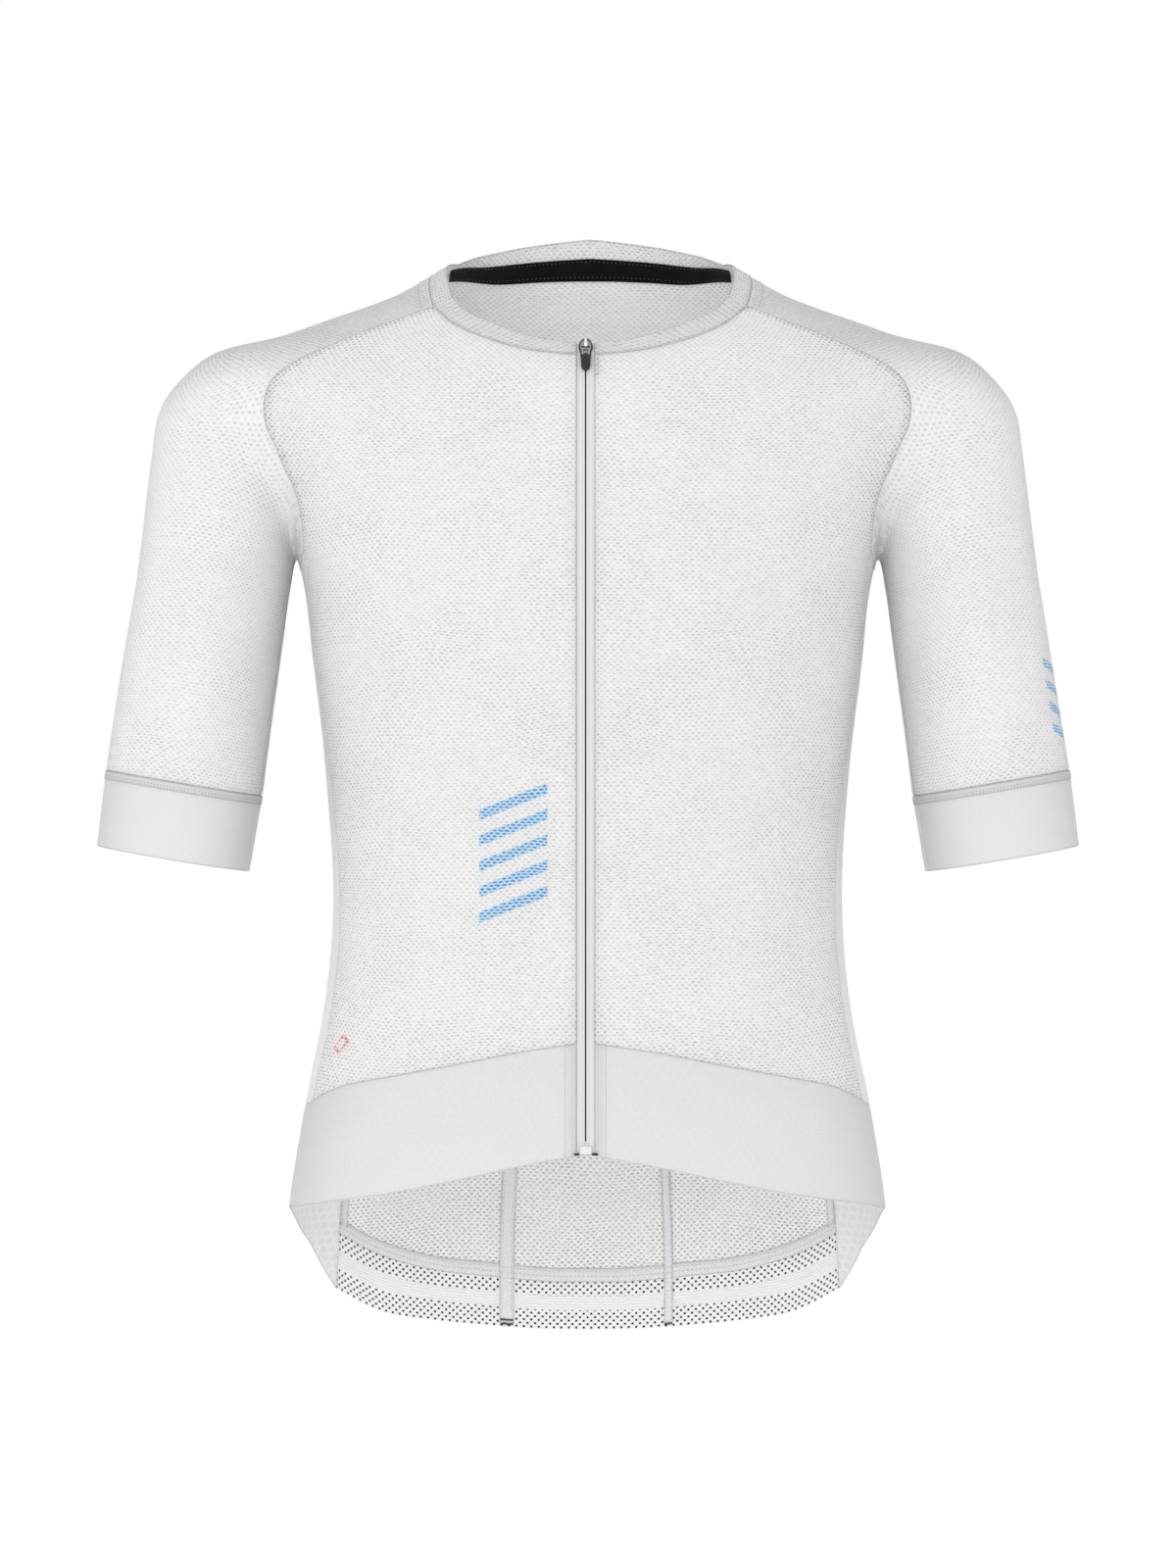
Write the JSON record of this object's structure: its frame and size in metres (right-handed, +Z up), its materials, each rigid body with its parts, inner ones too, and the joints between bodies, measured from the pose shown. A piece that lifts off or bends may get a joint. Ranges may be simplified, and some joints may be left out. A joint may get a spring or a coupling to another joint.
{
  "type": "cycling jersey",
  "caption": "Short-sleeved cycling jersey in pale knit mesh with raglan sleeves, full front zip, low neckband, smooth hem and cuff bands and back pockets, held in worn shape.",
  "frame": {"origin": "middle of the line between the shoulders, level with the sides of the neck, where the wearer's shoulders hold the garment up", "axes": "+Z up the body, -Y the way the front faces, +X towards the wearer's left"},
  "size_m": [0.6272, 0.2442, 0.7203],
  "materials": {
    "knit": "matt open knit mesh, warm white",
    "smooth_cloth": "matt smooth knit, pale grey white",
    "cuff_cloth": "matt smooth knit, pale lilac grey",
    "gripper_elastic": "ribbed elastic, pale grey",
    "black_tape": "matt woven tape, black",
    "zip_tape": "woven tape, pale grey",
    "zip_coil": "nylon coil, dark grey",
    "pale_plastic": "moulded, pale grey",
    "gunmetal": "satin gunmetal",
    "pull_plastic": "moulded, dark grey"
  },
  "bodies": {
    "garment": {"front_left": "knit", "front_right": "knit", "back": "knit", "sleeve_left": "knit", "sleeve_right": "knit", "pocket_left": "knit", "pocket_middle": "knit", "pocket_right": "knit", "neckband": "knit", "side_left": "smooth_cloth", "side_right": "smooth_cloth", "band_left": "smooth_cloth", "band_right": "smooth_cloth", "cuff_left": "cuff_cloth", "cuff_right": "cuff_cloth", "gripper": "gripper_elastic", "neck_tape": "black_tape", "zip_tape_left": "zip_tape", "zip_tape_right": "zip_tape", "zip_coil": "zip_coil", "zip_stop": "pale_plastic", "zip_slider": "gunmetal"},
    "pull_tab": {"zip_pull": "pull_plastic"}
  },
  "joints": [
    {"name": "pull_swing", "type": "hinge", "parent": "garment", "child": "pull_tab", "pos_m": [0.00004, -0.08828, -0.04219], "axis": [-1, 0, 0], "range_deg": [0, 165]}
  ]
}
